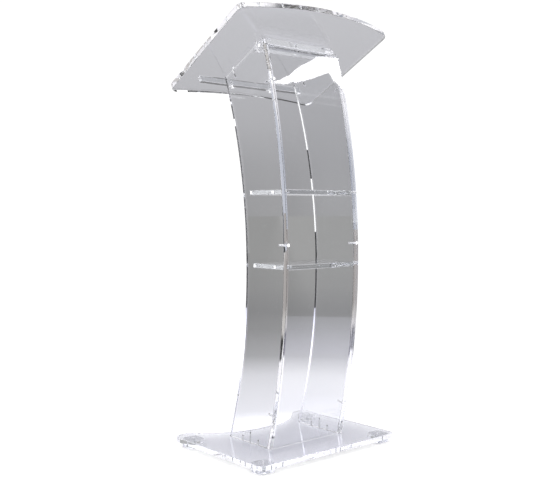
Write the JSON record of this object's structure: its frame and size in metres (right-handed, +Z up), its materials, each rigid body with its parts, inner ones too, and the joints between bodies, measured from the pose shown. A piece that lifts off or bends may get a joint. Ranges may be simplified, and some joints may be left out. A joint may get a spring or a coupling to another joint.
{
  "type": "presentation lectern",
  "caption": "Clear acrylic presentation lectern with a sloping reading desk, a book stop, a bowed column open at the back with shelves, and a wide base on pad feet.",
  "frame": {"origin": "bottom centre of the whole lectern's box, on the floor under the four feet", "axes": "+X across the width, -Y towards the audience, +Y towards the reader, +Z up"},
  "size_m": [0.5434, 0.387, 1.1961],
  "materials": {
    "clear_acrylic": "polished",
    "steel": "satin"
  },
  "bodies": {
    "root": {"base_plate": "clear_acrylic", "book_stop": "clear_acrylic", "book_stop_screws": "steel", "desk_rail": "clear_acrylic", "desk_rail_screw": "steel", "desk_screws_left": "steel", "desk_screws_right": "steel", "foot_front_left": "clear_acrylic", "foot_front_right": "clear_acrylic", "foot_rear_left": "clear_acrylic", "foot_rear_right": "clear_acrylic", "foot_screw_front_left": "steel", "foot_screw_front_right": "steel", "foot_screw_rear_left": "steel", "foot_screw_rear_right": "steel", "front_base_screws": "steel", "front_panel": "clear_acrylic", "front_panel_screws_left": "steel", "front_panel_screws_right": "steel", "locating_pins_left": "steel", "locating_pins_right": "steel", "lower_shelf": "clear_acrylic", "lower_shelf_screws_left": "steel", "lower_shelf_screws_right": "steel", "rail_screw_left": "steel", "rail_screw_right": "steel", "reading_desk": "clear_acrylic", "side_base_screw_left": "steel", "side_base_screw_right": "steel", "side_panel_left": "clear_acrylic", "side_panel_right": "clear_acrylic", "upper_shelf": "clear_acrylic", "upper_shelf_screws_left": "steel", "upper_shelf_screws_right": "steel"}
  },
  "joints": []
}
